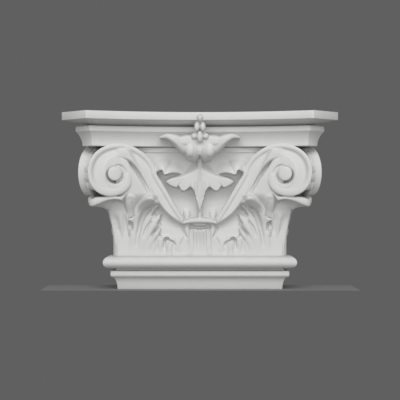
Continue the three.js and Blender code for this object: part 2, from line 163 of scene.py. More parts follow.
def finish_tree(tree, geometry, material):
    whole = add(tree, "GeometryNodeRealizeInstances", {"Geometry": geometry})
    out = add(tree, "GeometryNodeSetMaterial", {"Geometry": whole.outputs[0], "Material": material})
    add(tree, "NodeGroupOutput", {"Geometry": out.outputs[0]})


def run_tree(name, tree, values):
    """Runs a tree with its named inputs set, and returns the result as a plain mesh object."""
    carrier = bpy.data.objects.new(name + "_run", bpy.data.meshes.new(name + "_run"))
    bpy.context.scene.collection.objects.link(carrier)
    modifier = carrier.modifiers.new("nodes", "NODES")
    modifier.node_group = tree
    for item in tree.interface.items_tree:
        if item.in_out == "INPUT":
            modifier[item.identifier] = values[item.name]
    graph = bpy.context.evaluated_depsgraph_get()
    mesh = bpy.data.meshes.new_from_object(carrier.evaluated_get(graph), depsgraph=graph)
    bpy.data.objects.remove(carrier)
    obj = bpy.data.objects.new(name, mesh)
    bpy.context.scene.collection.objects.link(obj)
    return obj


def moulding_tree():
    sockets = [("Plan", "NodeSocketObject"), ("Profile", "NodeSocketObject")]
    tree, given = new_tree("mitred moulding", sockets + [("Material", "NodeSocketMaterial")])
    plan = add(tree, "GeometryNodeObjectInfo", {"Object": given["Plan"]}).outputs["Geometry"]
    profile = add(tree, "GeometryNodeObjectInfo", {"Object": given["Profile"]}).outputs["Geometry"]
    plan_count = add(tree, "GeometryNodeAttributeDomainSize", {"Geometry": plan}).outputs[0]
    profile_count = add(tree, "GeometryNodeAttributeDomainSize", {"Geometry": profile}).outputs[0]
    columns = add(tree, "ShaderNodeMath", {0: plan_count, 1: 1}, operation="ADD").outputs[0]
    grid = add(tree, "GeometryNodeMeshGrid", {"Vertices X": profile_count, "Vertices Y": columns})
    index = add(tree, "GeometryNodeInputIndex").outputs[0]
    share = add(tree, "ShaderNodeMath", {0: index, 1: columns}, operation="DIVIDE").outputs[0]
    row = add(tree, "ShaderNodeMath", {0: share}, operation="FLOOR").outputs[0]
    column = add(tree, "ShaderNodeMath", {0: index, 1: columns}, operation="MODULO").outputs[0]
    column = add(tree, "ShaderNodeMath", {0: column, 1: plan_count}, operation="MODULO").outputs[0]
    place = add(tree, "GeometryNodeInputPosition").outputs[0]
    out = add(tree, "GeometryNodeInputNamedAttribute", {"Name": "out"}, data_type="FLOAT_VECTOR")

    def sample(geometry, value, at):
        settings = {"Geometry": geometry, "Value": value, "Index": at}
        return add(tree, "GeometryNodeSampleIndex", settings, data_type="FLOAT_VECTOR").outputs[0]

    section = add(tree, "ShaderNodeSeparateXYZ", {0: sample(profile, place, row)})
    push = {0: sample(plan, out.outputs[0], column), "Scale": section.outputs["X"]}
    push = add(tree, "ShaderNodeVectorMath", push, operation="SCALE").outputs[0]
    rise = add(tree, "ShaderNodeCombineXYZ", {"Z": section.outputs["Z"]}).outputs[0]
    spot = {0: sample(plan, place, column), 1: push}
    spot = add(tree, "ShaderNodeVectorMath", spot, operation="ADD").outputs[0]
    spot = add(tree, "ShaderNodeVectorMath", {0: spot, 1: rise}, operation="ADD").outputs[0]
    moved = add(tree, "GeometryNodeSetPosition", {"Geometry": grid.outputs["Mesh"], "Position": spot})
    closed = {"Geometry": moved.outputs[0], "Distance": 1e-6}
    closed = add(tree, "GeometryNodeMergeByDistance", closed)
    finish_tree(tree, closed.outputs[0], given["Material"])
    return tree


MOULDING = moulding_tree()
print("moulding tree:", len(MOULDING.nodes), "nodes")

# %% [markdown]
# The finish is a factory primer: a thin, dead matt white coat over a fine-grained moulding. Matt
# paint is a rough dielectric, so the gloss is faint and wide. What the eye gets from it is a very
# even white with a slight mottle where the coat is thicker, and a skin as fine as eggshell.

# %% The primer material
def linear(code):
    """An sRGB hex colour as the linear numbers that a shader takes."""
    parts = [int(code[i:i + 2], 16) / 255 for i in (1, 3, 5)]
    return [c / 12.92 if c <= 0.04045 else ((c + 0.055) / 1.055) ** 2.4 for c in parts] + [1]


PRIMER_THIN = "#c5c5c4"
PRIMER_THICK = "#cbcbca"
MOTTLE_MM = 14
SKIN_MM = 0.9


def primer_material():
    material = bpy.data.materials.new("white_acrylic_primer")
    material.use_nodes = True
    tree = material.node_tree
    shader = tree.nodes["Principled BSDF"]
    shader.inputs["IOR"].default_value = 1.47
    shader.inputs["Specular IOR Level"].default_value = 0.35
    place = add(tree, "ShaderNodeTexCoord").outputs["Object"]
    mottle = {"Vector": place, "Scale": 1000 / MOTTLE_MM, "Detail": 3.0, "Roughness": 0.55}
    mottle = add(tree, "ShaderNodeTexNoise", mottle).outputs[0]
    coat = add(tree, "ShaderNodeMix", {0: mottle}, data_type="RGBA")
    coat.inputs["A"].default_value = linear(PRIMER_THIN)
    coat.inputs["B"].default_value = linear(PRIMER_THICK)
    tree.links.new(coat.outputs["Result"], shader.inputs["Base Color"])
    rough = {"Value": mottle, "From Min": 0.3, "From Max": 0.7, "To Min": 0.62, "To Max": 0.74}
    rough = add(tree, "ShaderNodeMapRange", rough).outputs[0]
    tree.links.new(rough, shader.inputs["Roughness"])
    skin = {"Vector": place, "Scale": 1000 / SKIN_MM, "Detail": 2.0}
    skin = add(tree, "ShaderNodeTexNoise", skin).outputs[0]
    skin = {"Height": skin, "Strength": 0.12, "Distance": 0.0002}
    skin = add(tree, "ShaderNodeBump", skin)
    tree.links.new(skin.outputs[0], shader.inputs["Normal"])
    return material


PRIMER = primer_material()
print("primer:", PRIMER_THIN, "to", PRIMER_THICK)

# %% [markdown]
# Two runs of moulding make the capital's frame. The base and bell share a square plan. The
# abacus has hollow sides and corners cut at 45 degrees. Both plans stop at the wall, where the
# corner points slide along the wall instead of being pushed off it.

# %% Plans
HORN_FRONT = 137.1
HORN_REACH = 170.6
HOLLOW = 30
ARC_STEPS = 48
SIDE_STEPS = 20


def abacus_ring(inset):
    """The hollow-sided plan, moved in from the abacus face by an even inset."""
    sagitta_radius = (HORN_FRONT**2 + HOLLOW**2) / (2 * HOLLOW)
    centre = HORN_REACH - HOLLOW + sagitta_radius
    radius = sagitta_radius + inset
    # the 45 degree corner face also moves in, and meets the hollow face where x + y is constant
    corner = HORN_REACH + HORN_FRONT - inset * math.sqrt(2)
    low, high = WALL, HORN_FRONT
    for _ in range(40):
        mid = (low + high) / 2
        if mid + centre - math.sqrt(radius**2 - mid**2) < corner:
            low = mid
        else:
            high = mid
    reach = low
    across = np.linspace(0, reach, ARC_STEPS // 2 + 1)
    front = [(u, centre - math.sqrt(radius**2 - u**2) - WALL) for u in across]
    down = np.linspace(reach, WALL, SIDE_STEPS)
    side = [(centre - math.sqrt(radius**2 - v**2), v - WALL) for v in down]
    right = front + side
    return np.array([(-u, d) for u, d in right[:0:-1]] + right)


def base_ring(inset):
    half, depth = BASE_HALF - inset, BASE_DEPTH - inset
    return np.array([(-half, 0), (-half, depth), (half, depth), (half, 0)])


def plan_object(name, ring, reach):
    """The plan's points, each with the way it goes for every millimetre it is pushed out."""
    points = ring(0)
    out = (points - ring(reach)) / reach
    mesh = bpy.data.meshes.new(name)
    mesh.from_pydata(world(np.c_[points, np.zeros(len(points))]).tolist(), [], [])
    push = mesh.attributes.new("out", "FLOAT_VECTOR", "POINT")
    push.data.foreach_set("vector", np.c_[out[:, 0], -out[:, 1], np.zeros(len(points))].ravel())
    obj = bpy.data.objects.new(name, mesh)
    bpy.context.scene.collection.objects.link(obj)
    return obj


plans = {"abacus": plan_object("abacus_plan", abacus_ring, 21.1)}
plans["base"] = plan_object("base_plan", base_ring, 10)
print("abacus plan:", len(plans["abacus"].data.vertices), "points")

# %% [markdown]
# A profile is the moulding's section as a row of points: how far out, and how high. The base has
# a cavetto, a fillet, a dark quirk, a torus and the flaring bell. The abacus has a cove, a band,
# a deep soffit and the plain fascia on top.

# %% Profiles
CAVETTO_STEP, CAVETTO_TOP = 6.6, 15.8
FILLET_STEP, FILLET_LOW, FILLET_HIGH = 8.2, 17.8, 23.6
QUIRK_STEP = 1.5
TORUS_STEP, TORUS_LOW, TORUS_MID, TORUS_TOP = 17.2, 27, 34.4, 42.4
BELL_STEP, BELL_TOP, BELL_FLARE = 1.4, 171.3, 11
LIP_STEP, LIP_LOW, LIP_HIGH = 13, 172.4, 178.2
FASCIA_LOW, SOFFIT_IN, SOFFIT_LOW = 211.2, 30, 205.1
BAND_IN, BAND_HIGH, BAND_LOW = 14, 204.3, 197.3
COVE_IN, COVE_LOW, COVE_ANGLE = 21.1, 179.3, 48


def base_profile():
    turn = np.radians(np.linspace(0, 90, 12))
    points = [(CAVETTO_STEP * (1 - math.cos(a)), CAVETTO_TOP * math.sin(a)) for a in turn]
    points += [(FILLET_STEP, FILLET_LOW), (FILLET_STEP, FILLET_HIGH)]
    points += [(QUIRK_STEP, FILLET_HIGH + 0.4), (QUIRK_STEP, TORUS_LOW - 0.4)]
    round_out = TORUS_STEP - BELL_STEP
    for a in np.radians(np.linspace(-82, 86, 22)):
        half = (TORUS_MID - TORUS_LOW) if a < 0 else (TORUS_TOP - TORUS_MID)
        bulge = round_out * math.sqrt(math.cos(a))
        points.append((BELL_STEP + bulge, TORUS_MID + half * math.sin(a)))
    for t in np.linspace(0, 1, 10):
        points.append((BELL_STEP + BELL_FLARE * t * t, TORUS_TOP + (BELL_TOP - TORUS_TOP) * t))
    lip = BELL_STEP + LIP_STEP
    points += [(lip, LIP_LOW), (lip, LIP_HIGH), (BELL_STEP + BELL_FLARE, LIP_HIGH + 0.4)]
    return points + [(BELL_STEP + BELL_FLARE, COVE_LOW)]


def abacus_profile():
    steep = math.radians(COVE_ANGLE)
    turn = np.linspace(0, steep, 12)
    rise, run = BAND_LOW - COVE_LOW - 0.5, COVE_IN - BAND_IN - 0.6
    points = []
    for a in turn:
        up = math.sin(a) / math.sin(steep)
        out = (1 - math.cos(a)) / (1 - math.cos(steep))
        points.append((-COVE_IN + run * out, COVE_LOW + rise * up))
    points += [(-BAND_IN, BAND_LOW), (-BAND_IN, BAND_HIGH - 2), (-BAND_IN - 1.2, BAND_HIGH - 0.3)]
    points += [(-SOFFIT_IN, BAND_HIGH), (-SOFFIT_IN, SOFFIT_LOW)]
    return points + [(0, FASCIA_LOW), (0, HEIGHT)]


def profile_object(name, profile):
    mesh = bpy.data.meshes.new(name)
    mesh.from_pydata([(out / 1000, 0, z / 1000) for out, z in profile], [], [])
    obj = bpy.data.objects.new(name, mesh)
    bpy.context.scene.collection.objects.link(obj)
    return obj


profiles = {"base": profile_object("base_profile", base_profile())}
profiles["abacus"] = profile_object("abacus_profile", abacus_profile())
print({name: len(obj.data.vertices) for name, obj in profiles.items()}, "profile points")

# %% [markdown]
# Each profile is now run along its plan. The ends at the wall are closed, and every sharp arris
# gets a narrow bevel, because a cast and painted edge always catches a line of light.

# %% Run the mouldings, close their ends and soften the edges
ARRIS_MM = 0.7
SHARP_DEG = 25


def moulding(name):
    values = {"Plan": plans[name], "Profile": profiles[name], "Material": PRIMER}
    obj = run_tree(name + "_moulding", MOULDING, values)
    work = bmesh.new()
    work.from_mesh(obj.data)
    bmesh.ops.holes_fill(work, edges=work.edges, sides=0)
    bmesh.ops.recalc_face_normals(work, faces=work.faces)
    sharp = [e for e in work.edges if e.calc_face_angle(0) > math.radians(SHARP_DEG)]
    sharp = [e for e in sharp if min(v.co.y for v in e.verts) < BASE_DEPTH / 2000 - 1e-5]
    width = ARRIS_MM / 1000
    bmesh.ops.bevel(work, geom=sharp, offset=width, segments=2, affect="EDGES", profile=0.5)
    work.to_mesh(obj.data)
    work.free()
    return obj


base = moulding("base")
abacus = moulding("abacus")
for obj in (base, abacus):
    print(obj.name, len(obj.data.polygons), "faces")

# %% [markdown]
# The volutes and the straps that carry them are one ribbon: it leaves the collar at the middle,
# sweeps up to the corner and rolls in to the eye. It is a skin between two named curves, an
# outer edge and a crest. Across its width it has a rounded rim, a fine groove and a dished
# channel. The groove fades on the second half of the turn, and the drop at the crest before it.

# %% Volute and strap
EYE_U, EYE_Z, EYE_R = 104.9, 145, 8.2
OUTER_R = [51, 42.3, 37, 34.8, 32.2, 30.9, 27, 24.2, 21]
CREST_R = [31.2, 23.4, 20.8, 14.8, 12.4, 13.2, 16.4, 15, 13.2]
FACE_NEAR, FACE_RISE, FACE_BEND = 11, 33.5, 1.8
STRAP_TOP = [[20.5, 89.5], [32, 108], [43, 127.5]]
STRAP_FOOT = [[21.7, 81.2], [41, 95.3], [56.5, 116.5]]
VOLUTE_SINK = 9
VOLUTE_WALL = [(-0.2, 1), (0.2, 8.6), (2, 10), (14, 11), (15, 24)]
VOLUTE_ROOT = 15
RIM_WIDE, RIM_RISE, GROOVE_DEEP, CHANNEL, CREST, CREST_DROP = 6.4, 1.1, 1, 1.5, 1.1, 3.2
REACH_U = EYE_U + OUTER_R[4]


def face_depth(u):
    return BELL_FRONT + FACE_NEAR + FACE_RISE * (np.abs(u) / REACH_U) ** FACE_BEND


def spiral(radius, turns):
    a = 2 * np.pi * np.asarray(turns, float)
    return np.stack([-EYE_U + radius * np.cos(a), EYE_Z + radius * np.sin(a)], axis=-1)


def step(x):
    """Smooth step from 0 to 1."""
    x = np.clip(x, 0, 1)
    return x * x * (3 - 2 * x)


def ribbon_rise(x, wide, turns):
    """How far the face stands out, x mm in from the outer edge; turns run from -1 at the collar."""
    rim = RIM_WIDE + (wide - RIM_WIDE) * step((turns - 0.55) / 0.3)
    round_rim = RIM_RISE * (1 - np.abs(np.clip((x - rim * 0.5) / (rim * 0.5), -1, 1)) ** 2.6)
    grown = step((turns + 1) / 0.6)
    groove = GROOVE_DEEP * np.exp(-(((x - rim - 0.4) / 1.8) ** 2))
    groove *= grown * step((0.62 - turns) / 0.2)
    ramp = np.clip((x - rim) / max(1, wide - rim), 0, 1)
    dish = -CHANNEL * np.minimum(1, (x - rim) / 2.4) + (CHANNEL + CREST) * ramp**1.2
    channel = np.where(x > rim, dish, 0)
    channel *= (0.4 + 0.6 * grown) * step((0.64 - turns) / 0.22)
    channel += 0.6 * step((turns - 0.45) / 0.25)
    drop = CREST_DROP * step((0.3 - turns) / 0.22) * step((x - wide + 2.4) / 2.4)
    return round_rim - groove + channel - drop


def ribbon(outer, inner, turns, wall=()):
    """A closed ribbon between two rows of (u, z); wall: [inset, drop] down the outer side."""
    shares = [np.linspace(0, 0.5, 22), np.linspace(0.53, 0.9, 9), np.linspace(0.92, 1, 6)]
    shares = np.concatenate(shares)
    rings = []
    for o, i, t in zip(outer, inner, turns):
        wide = np.linalg.norm(i - o)
        across = o + (i - o) * shares[:, None]
        depth = face_depth(across[:, 0]) + ribbon_rise(shares * wide, wide, t)
        ring = [(u, d, z) for (u, z), d in zip(across, depth)]
        back = BELL_FRONT - VOLUTE_SINK
        foot = o + (i - o) * (min(0.8, VOLUTE_ROOT / wide) if wall else 0)
        ring += [(i[0], back, i[1]), (foot[0], back, foot[1])]
        for inset, fall in reversed(wall):
            u, z = o + (i - o) * min(0.8, inset / wide)
            ring.append((u, max(back + 1, face_depth(u) - fall), z))
        rings.append(ring)
    return loft(rings)


def strap():
    t = np.linspace(0, 1, 50)
    start = [tuple(np.array(p) * (-1, 1)) for p in STRAP_TOP]
    foot = [tuple(np.array(p) * (-1, 1)) for p in STRAP_FOOT]
    outer = along(start + [tuple(spiral(OUTER_R[0], 0))], t)
    inner = along(foot + [tuple(spiral(CREST_R[0], 0))], t)
    return ribbon(outer, inner, t - 1)


def volute():
    t = np.linspace(0, 1, 120)
    outer = spiral(along(OUTER_R, t), t)
    return ribbon(outer, spiral(along(CREST_R, t), t), t, wall=VOLUTE_WALL)


half = [strap(), volute()]
print("strap and volute:", [len(f) for p, f in half], "faces")

# %% [markdown]
# Ridges and grooves are drawn as a sculptor draws them, stroke by stroke, on a field of heights.
# A field is a grid of (u, z) points with a height at each. A stroke is a curve whose stations
# give its place, its half width and how far it stands out or cuts in.

# %% Strokes
CUT_SHARE = 1.25


def near(field, stations, samples=90):
    """For every field point: distance to the curve, side of it, width and height there."""
    s = along(stations, np.linspace(0, 1, samples))
    du = field["u"][..., None] - s[:, 0]
    dz = field["z"][..., None] - s[:, 1]
    where = (du**2 + dz**2).argmin(axis=-1)
    way = np.gradient(s[:, :2], axis=0)
    way /= np.linalg.norm(way, axis=1)[:, None] + 1e-9
    du = field["u"] - s[where, 0]
    dz = field["z"] - s[where, 1]
    side = du * way[where, 1] - dz * way[where, 0]
    return np.hypot(du, dz), side, s[where, 2], s[where, 3]


def around(field, stations):
    """The part of a field that a stroke can reach, as a field whose heights are a view."""
    s = np.array(stations, float)
    pad = s[:, 2].max() * 2.6 + 2
    if "even" not in field:
        return field
    i = np.searchsorted(field["u"][0], [s[:, 0].min() - pad, s[:, 0].max() + pad])
    j = np.searchsorted(field["z"][:, 0], [s[:, 1].min() - pad, s[:, 1].max() + pad])
    box = np.s_[j[0]:j[1], i[0]:i[1]]
    return {key: field[key][box] for key in ("u", "z", "h")}


def lay(field, stations, power=2.0, soft=0.8):
    """A ridge: stations [u, z, half width, height]."""
    part = around(field, stations)
    r, side, wide, high = near(part, stations)
    bump = np.where(r < wide, high * (1 - np.clip(r / wide, 0, 1) ** power), -9)
    blend = np.clip(0.5 + (bump - part["h"]) / (2 * soft), 0, 1)
    part["h"] += (bump - part["h"]) * blend + soft * blend * (1 - blend)


def cut(field, stations):
    """A groove: stations [u, z, half width, depth]."""
    part = around(field, stations)
    r, side, wide, deep = near(part, stations)
    part["h"] -= CUT_SHARE * deep * np.exp(-((r / wide) ** 2))


def cliff(field, stations, wall=0.8):
    """A lobe's free edge: raised on the left of its run, falling away over the run's width."""
    part = around(field, stations)
    r, side, wide, high = near(part, stations)
    part["h"] += np.where(side < 0, high * (1 - step(r / wide)), high * np.clip(1 - r / wall, 0, 1))


def plate(field, lower, upper, crisp=0.9):
    """A leaf blade from tip to root: lower edge [u, z], upper edge [u, z, run-out, height]."""
    part = around(field, [list(p[:2]) + [6] for p in lower + upper])
    below, side_low, _, _ = near(part, [list(p) + [0, 0] for p in lower])
    above, side_high, soft, high = near(part, upper)
    inside = (side_low < 0) & (side_high > 0)
    blade = high * step(below / crisp) * step(above / soft + 0.2 / soft)
    part["h"][:] = np.maximum(part["h"], np.where(inside, blade, -9))


print("a groove drawn 1 mm deep is cut", CUT_SHARE, "mm deep")

# %% [markdown]
# The ribbon ends round an eye. The middle of the volute is one round field of heights: a disc for
# the eye, and a well that is deep on the lower left and shallow on the right. The start of the
# second turn hooks round it.

# %% Eye and core of the volute
CURL_OUT_R = [21, 21.4, 21.8, 21, 19]
CURL_IN_R = [15, 14.6, 13.9, 12.2, 10]
CURL_SINK = [0, 0.2, 0.5, 1, 1.6]
CORE_R = [15.5, 15, 21.5, 16, 13.6, 14.4, 17.6, 16.2, 15.5]
# the well round the eye, hour by hour from twelve o'clock
WELL_DEEP = [1.4, 1.9, 2, 3, 6.5, 12, 15, 14, 11, 8, 4, 1.8]
WELL_WIDE = [1.4, 1.6, 1.8, 2.4, 3.2, 4.4, 5, 4.4, 3.4, 2.6, 1.8, 1.4]
WELL_WALL = 0.5


def spot(hour, radius, wide, deep):
    """A stroke's station about the eye, placed as on a clock face."""
    a = math.radians(90 - 30 * hour)
    return [-EYE_U + radius * math.cos(a), EYE_Z + radius * math.sin(a), wide, deep]


HOOK = [spot(0, 9.2, 0.9, 0.3), spot(0.44, 10.6, 1.1, 1.1), spot(1.05, 11.7, 1.3, 2.2)]
HOOK += [spot(1.8, 12.2, 1.4, 2.6), spot(2.7, 13.2, 1.4, 2.2), spot(3.4, 14.4, 1.2, 1)]
HOOK.append(spot(3.9, 15.2, 1, 0.2))


def curl():
    """The start of the second turn, which comes out from under the strap."""
    t = np.linspace(0, 1, 40)
    outer, inner = (spiral(along(radius, t), 1 + 0.27 * t) for radius in (CURL_OUT_R, CURL_IN_R))
    points, faces = ribbon(outer, inner, 1 + t)
    points = points.reshape(40, -1, 3)
    points[:, :-2, 1] -= along(CURL_SINK, t)[:, None]
    return points.reshape(-1, 3), faces


def core():
    """The middle of the volute: a round field of heights over the face, out to the crest."""
    turns = np.linspace(0, 1, 97)[:-1]
    share = np.linspace(0, 1, 61)[1:]
    radius = along(CORE_R, turns)[None, :] * share[:, None]
    place = spiral(radius, turns[None, :] + 0 * radius)
    field = {"u": place[..., 0], "z": place[..., 1], "h": np.full(radius.shape, CREST + 0.1)}
    field["h"] += 0.9 * np.clip(1 - (radius / EYE_R) ** 4, 0, 1)
    hour = (3 - 12 * turns) % 12
    deep, wide = (np.interp(hour, range(12), table, period=12) for table in (WELL_DEEP, WELL_WIDE))
    past = radius - EYE_R
    field["h"] -= deep * step(past / WELL_WALL) * (1 - step((past - WELL_WALL) / wide))
    cut(field, HOOK)
    depth = face_depth(field["u"]) + field["h"]
    rings = np.stack([field["u"], depth, field["z"]], axis=-1)
    back = rings[-1].copy()
    back[:, 1] = BELL_FRONT - VOLUTE_SINK
    return loft(np.concatenate([back[None], rings[::-1]]))


half += [curl(), core()]
print("curl and core:", [len(f) for p, f in half[2:]], "faces")

# %% [markdown]
# A row of long beads runs down the outer edge of each volute, behind its rim. Beads repeat at an
# even pitch along an arc, so Geometry Nodes sets them: an arc becomes points, and each point
# takes one bead turned along the arc.

# %% Beads
BEAD_COUNT, BEAD_R, BEAD_LONG, BEAD_FALL = 6, 3.6, 13, 11.5
BEAD_ARC_R, BEAD_FROM, BEAD_SWEEP = 31.6, 112, 95


def bead_tree():
    sockets = [(name, "NodeSocketFloat") for name in ("Arc radius", "Start", "Sweep")]
    sockets += [("Count", "NodeSocketInt"), ("Bead size", "NodeSocketVector")]
    tree, given = new_tree("bead row", sockets + [("Material", "NodeSocketMaterial")])
    arc = {"Radius": given["Arc radius"], "Start Angle": given["Start"]}
    arc = {**arc, "Sweep Angle": given["Sweep"], "Resolution": 64}
    arc = add(tree, "GeometryNodeCurveArc", arc)
    points = {"Curve": arc.outputs["Curve"], "Count": given["Count"]}
    points = add(tree, "GeometryNodeCurveToPoints", points)
    bead = add(tree, "GeometryNodeMeshUVSphere", {"Segments": 16, "Rings": 10, "Radius": 1.0})
    row = {"Points": points.outputs["Points"], "Instance": bead.outputs["Mesh"]}
    row = {**row, "Rotation": points.outputs["Rotation"], "Scale": given["Bead size"]}
    row = add(tree, "GeometryNodeInstanceOnPoints", row)
    finish_tree(tree, row.outputs["Instances"], given["Material"])
    return tree


def beads():
    """The bead row of one volute, as points and faces in millimetres."""
    values = {"Arc radius": float(BEAD_ARC_R), "Start": math.radians(BEAD_FROM)}
    values = {**values, "Sweep": math.radians(BEAD_SWEEP), "Count": BEAD_COUNT, "Material": PRIMER}
    row = run_tree("beads", bead_tree(), {**values, "Bead size": (BEAD_R, BEAD_R, BEAD_LONG / 2)})
    spots = np.array([v.co for v in row.data.vertices])
    faces = [tuple(p.vertices) for p in row.data.polygons]
    bpy.data.objects.remove(row)
    u = spots[:, 0] - EYE_U
    depth = face_depth(u) - BEAD_FALL + spots[:, 2]
    return np.stack([u, depth, spots[:, 1] + EYE_Z], axis=1), faces


half.append(beads())
print("volute, strap and beads:", sum(len(f) for p, f in half), "faces")

# %% [markdown]
# A leaf wraps each corner of the bell and curls out under the volutes. It is a row of upright
# sections, fanned round the corner: flat on each face and turning at the corner, with shallow
# flutes between ribs, and a lip that reaches out furthest on the diagonal.

# %% Corner leaf
LEAF_EDGE, LEAF_TIP, LEAF_ROUND = 90, 35.5, 7
LEAF_BODY = [[2.6, 38], [2.9, 48], [3.7, 60], [5, 71], [7, 81], [9.4, 90], [10.6, 96]]
LIP_UNDER = [119.7, 118.5, 116.3, 113.5, 111.8, 112.6, 113.4, 112.6, 110.4, 107, 104.6]
LIP_OVER = [122.5, 121.5, 120, 118.5, 117.6, 117.2, 117.2, 117.2, 117.2, 116.6, 114]
LIP_REACH = [0.62, 0.64, 0.67, 0.7, 0.74, 0.79, 0.84, 0.9, 0.95, 0.98, 1]
FLUTE, FLUTE_DEEP, FLUTE_LEAN = 9.5, 2.6, 0.1


def corner_leaf(columns=44):
    flat = BELL_HALF - LEAF_ROUND - LEAF_EDGE
    turn = math.pi / 4 * LEAF_ROUND * 1.6
    body = along(LEAF_BODY, np.linspace(0, 1, 36))
    front = []
    for share in np.linspace(0, 1, columns + 1):
        run = share * (flat + turn)
        a = 0 if run < flat else (run - flat) / turn * math.pi / 4
        squeeze = (math.cos(a) ** 5 + math.sin(a) ** 5) ** -0.2
        base = -LEAF_EDGE - run if run < flat else -(BELL_HALF - LEAF_ROUND)
        left = flat + turn - run
        under, over, reach = (float(along(t, share)[0]) for t in (LIP_UNDER, LIP_OVER, LIP_REACH))
        tip = 7 + (LEAF_TIP - 7) * reach
        section = []
        for out, z in body:
            fade = min(1, max(0, (z - 42) / 14)) * min(1, max(0, (99 - z) / 10))
            wave = math.cos(2 * math.pi * (left - FLUTE_LEAN * (75 - z)) / FLUTE)
            section.append((out - FLUTE_DEEP * (0.5 - 0.5 * wave) * fade, z))
        mid = (under + over) / 2
        lip = [(0.02, 102), (0.1, under - 4), (0.32, under - 1.4), (0.7, under - 0.1)]
        lip += [(0.9, under + 0.1), (0.97, under + 0.8), (1, mid), (0.97, over - 0.8)]
        lip += [(0.9, over - 0.1), (0.6, over + 0.3), (0.2, over + 0.6)]
        for out, z in along(lip, np.linspace(0, 1, 30)):
            section.append((11 + (tip - 11) * out, z))
        section += [(-12, over + 0.6), (-12, 38)]
        ring = []
        for out, z in section:
            r = (LEAF_ROUND + out) * squeeze
            ring.append((base - r * math.sin(a), BELL_HALF - LEAF_ROUND - WALL + r * math.cos(a), z))
        front.append(ring)
    n = len(front[0])
    side = to_side(np.array(front[:-1])[::-1].reshape(-1, 3)).reshape(-1, n, 3)
    return loft(np.concatenate([np.array(front), side]))


corner = [corner_leaf()]
print("corner leaf:", len(corner[0][1]), "faces")

# %% [markdown]
# The rest of the leafage is relief on the bell: strokes on an even field of heights, which then
# becomes a slab whose back is inside the bell.

# %% Leafage field
GRID_MM = 0.5
RELIEF_U = (-104, 0)
RELIEF_Z = (40, 176)
us = np.arange(RELIEF_U[0], RELIEF_U[1] + GRID_MM / 2, GRID_MM)
zs = np.arange(RELIEF_Z[0], RELIEF_Z[1] + GRID_MM / 2, GRID_MM)
U, Z = np.meshgrid(us, zs)
LEAF_MASS, CHEEK_RISE, WEB_RISE = 3.4, 6, 19
leafage = {"u": U, "z": Z, "even": True}
leafage["h"] = np.zeros(U.shape)
ground = 0.3 + BELL_FLARE * np.clip((Z - TORUS_TOP) / (BELL_TOP - TORUS_TOP), 0, 1) ** 2
ground += LEAF_MASS * step((100 - Z) / 40) * step((-10 - U) / 6)
cheek = CHEEK_RISE * step((Z - 80) / 22) * (1 - step((Z - 98) / 24))
ground += cheek * step((-72 - U) / 12) * step((U + 98) / 6)
ground += WEB_RISE * step((-34 - (Z - 96) * 0.55 - U) / 14) * step((Z - 96) / 26)
print("leafage field:", U.shape, "points, half a millimetre apart")

# %% [markdown]
# The big leaf in the middle of each half rises as one stem, rolls over into a hood under the strap
# and sends three lobes towards the heart. A hood and a lobe are ridges that widen and rise; the
# eyes between lobes are short deep cuts, as a carver would drill them.

# %% Mid leaf
# hooded band
lay(leafage, [
    (-84.2, 35.3, 6, 0.5), (-83.6, 52.8, 6, 1.2), (-82.4, 70.3, 6.5, 2.6), (-79.2, 87.8, 7.5, 5),
    (-73.6, 100.3, 8, 6.4), (-66.8, 107.2, 8, 7.2), (-60.5, 109.7, 8, 7.4), (-55.5, 109.1, 4, 7)
], 3)
cliff(leafage, [
    (-50.3, 105.3, 5, 1), (-51, 111.6, 8, 3), (-52.8, 116.6, 12, 4), (-55.5, 118.2, 14, 5),
    (-60.5, 118.1, 15, 5.5), (-65.5, 116.8, 15, 5), (-70.5, 114.1, 13, 3.6), (-74.2, 109.7, 10, 2.5),
    (-77.4, 102.8, 7, 0.5)
], 1.6)
# lobes
lay(leafage, [
    (-78, 42.8, 5, 0.8), (-74.2, 61.6, 5, 2.5), (-69.2, 77.8, 5.5, 4), (-63, 91.6, 5.5, 5.4),
    (-56.1, 101.6, 3.4, 5.6), (-53.6, 104.7, 1.5, 4.6)
], 3)
lay(leafage, [
    (-73, 40.3, 5, 0.6), (-70.5, 56.6, 5, 2), (-65.5, 71.6, 5.6, 3.6), (-56.8, 85.3, 6.5, 5),
    (-50.5, 92.8, 3.4, 4.8), (-49.3, 94.7, 1.4, 4)
], 3)
lay(leafage, [
    (-68, 37.8, 5, 0.3), (-65.5, 50.3, 5, 1.4), (-60.5, 61.6, 4.5, 3), (-54.3, 70.3, 4, 4.2),
    (-50.5, 76.6, 2, 4)
], 2.5)
lay(leafage, [
    (-61.8, 37.8, 5, 0.2), (-59.3, 50.3, 5, 1.2), (-53, 61.6, 4, 2.2), (-46.8, 66.6, 2.5, 2.4)
], 2.5)
cut(leafage, [
    (-59.3, 106.2, 1.3, 4), (-66.1, 101.6, 2, 6), (-70.5, 95.9, 2.2, 6), (-74.2, 87.8, 2.2, 4.6),
    (-76.8, 77.8, 2, 3.4), (-78.6, 67.8, 2, 2), (-79.9, 55.3, 2, 0.8)
])
cut(leafage, [(-53.2, 102.8, 0.9, 6), (-56.1, 98.4, 1.2, 8), (-59.9, 93.4, 0.8, 4)])
cut(leafage, [(-61.8, 85.3, 1.3, 2), (-66.8, 77.8, 1.5, 2.2), (-70.5, 67.8, 1.5, 1)])
cut(leafage, [
    (-48.9, 92.8, 0.8, 4), (-49.3, 87.8, 0.9, 5), (-52, 84.1, 1, 7), (-50.3, 80.3, 1, 5),
    (-53.6, 76.6, 1.1, 5), (-58, 72.2, 1, 3.4), (-61.1, 66.6, 0.9, 1.5)
])
cut(leafage, [(-50.5, 69.1, 0.9, 2), (-48.6, 64.7, 0.9, 2), (-45.5, 62.8, 0.9, 1.6)])
print("mid leaf stands out", round(float(leafage["h"].max()), 1), "mm")

